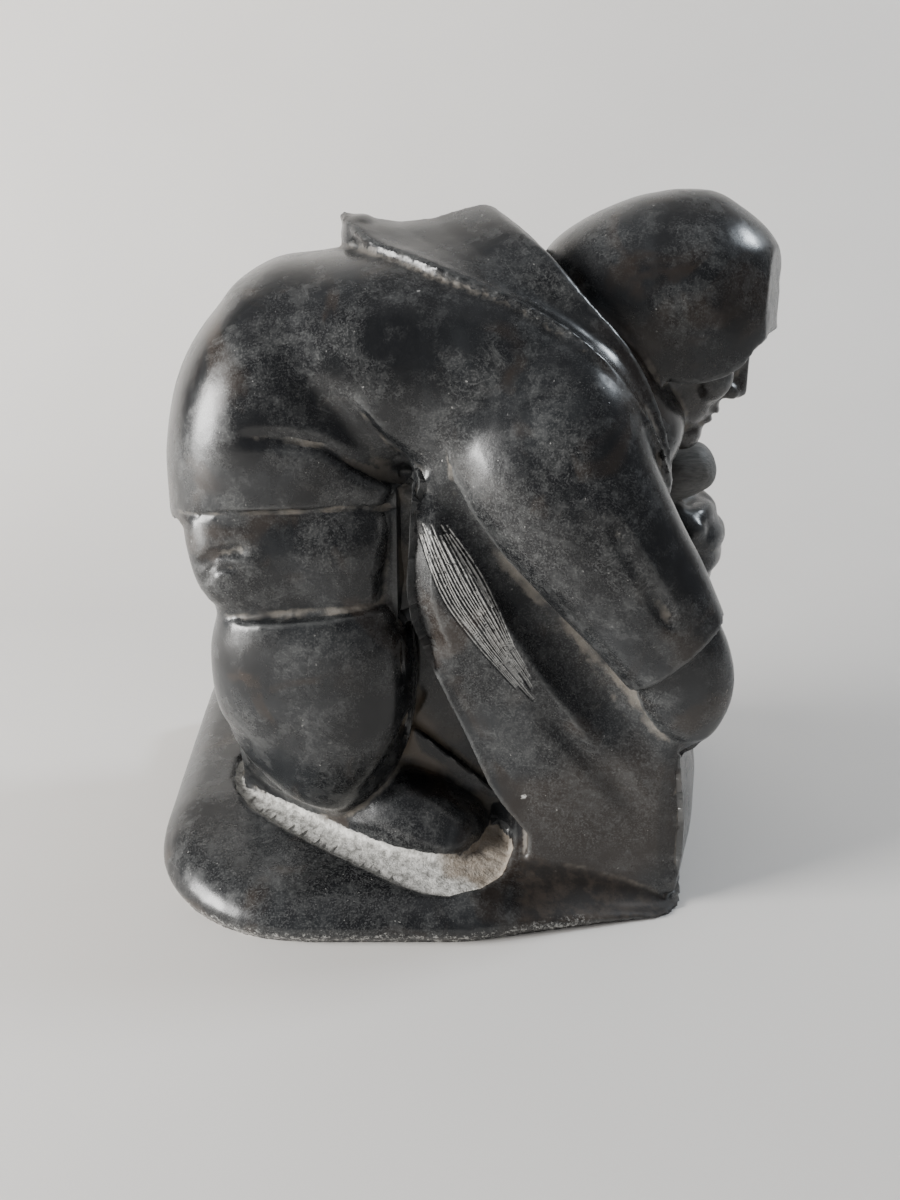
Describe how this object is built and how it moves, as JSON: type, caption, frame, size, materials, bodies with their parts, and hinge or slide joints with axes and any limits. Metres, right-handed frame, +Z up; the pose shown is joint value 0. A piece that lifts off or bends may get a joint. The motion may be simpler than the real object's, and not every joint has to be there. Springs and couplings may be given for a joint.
{
  "type": "stone carving of a figure bending forward in a hooded parka",
  "caption": "Dark polished stone carving of a figure in a hooded parka and boots, bent far forward over a slanting slab, on its own flat base.",
  "frame": {"origin": "middle of the box round the carving, on the plane it stands on", "axes": "+X the way the figure faces, +Y its left side, +Z up"},
  "size_m": [0.239, 0.1994, 0.2599],
  "materials": {
    "stone": "polished, near black with a soft mottling; rough and paler in the sunk strip round the feet"
  },
  "bodies": {
    "root": {"carving": "stone"}
  },
  "joints": []
}
